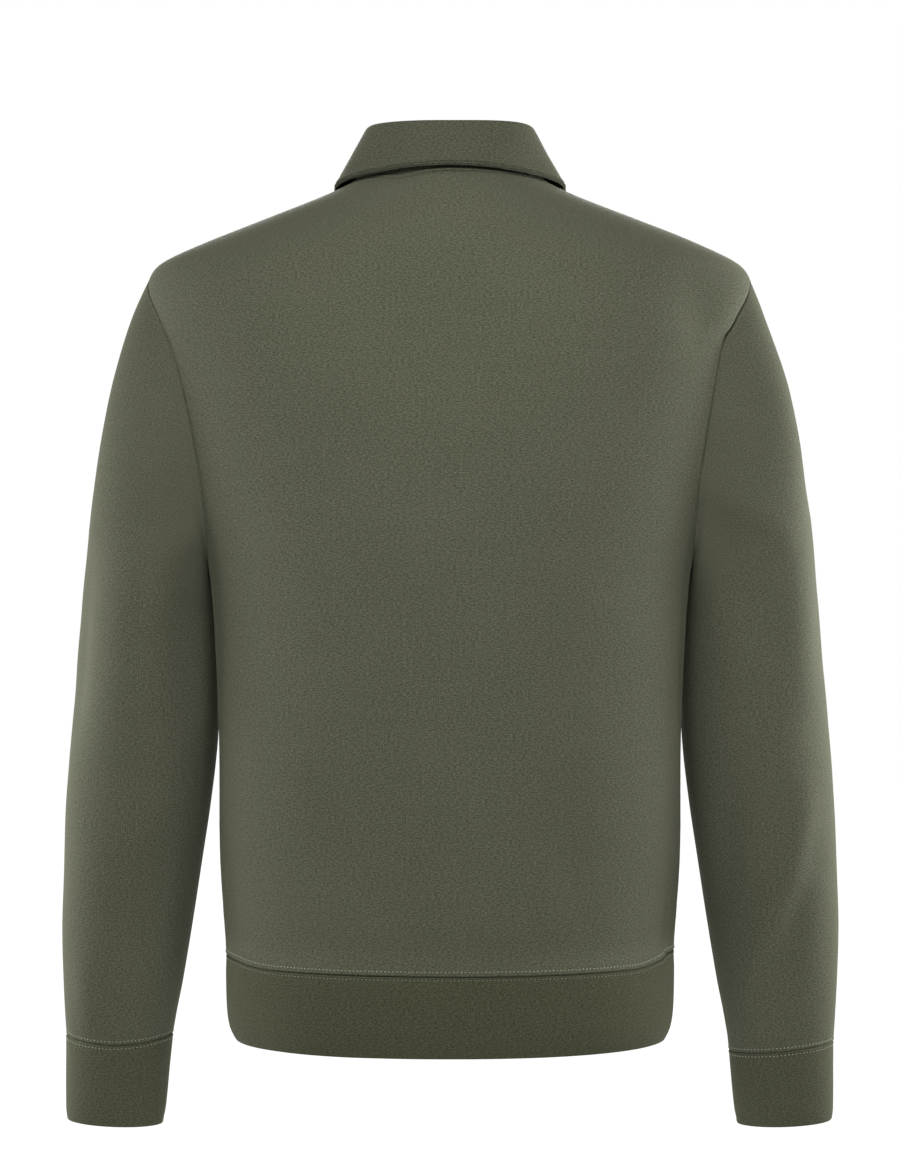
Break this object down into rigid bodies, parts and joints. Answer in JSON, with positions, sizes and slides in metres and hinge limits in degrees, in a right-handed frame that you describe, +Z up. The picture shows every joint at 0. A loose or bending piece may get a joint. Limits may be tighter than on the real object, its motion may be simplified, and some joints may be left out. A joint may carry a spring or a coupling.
{
  "type": "polo neck sweatshirt",
  "caption": "Long-sleeved pullover sweatshirt with a turned-down collar, a short buttoned front placket, banded cuffs and a hem band, filled out as if worn.",
  "frame": {"origin": "centre of the neck, level with the high points of the shoulders, where the garment hangs on its wearer", "axes": "+Z up along the wearer's neck, +X to the wearer's left, -Y to the front of the garment"},
  "size_m": [0.6142, 0.2469, 0.778],
  "materials": {
    "fleece": "matte olive knitted cotton fleece",
    "band_cloth": "matte olive fleece, folded double",
    "button_plastic": "semi-matte dark olive"
  },
  "bodies": {
    "root": {"back": "fleece", "front": "fleece", "sleeve_left": "fleece", "sleeve_right": "fleece", "cuff_left": "band_cloth", "cuff_right": "band_cloth", "hem_band": "band_cloth", "collar_upper": "fleece", "collar_under": "fleece", "placket_upper": "fleece", "placket_under": "fleece", "button_1": "button_plastic", "button_2": "button_plastic"}
  },
  "joints": []
}
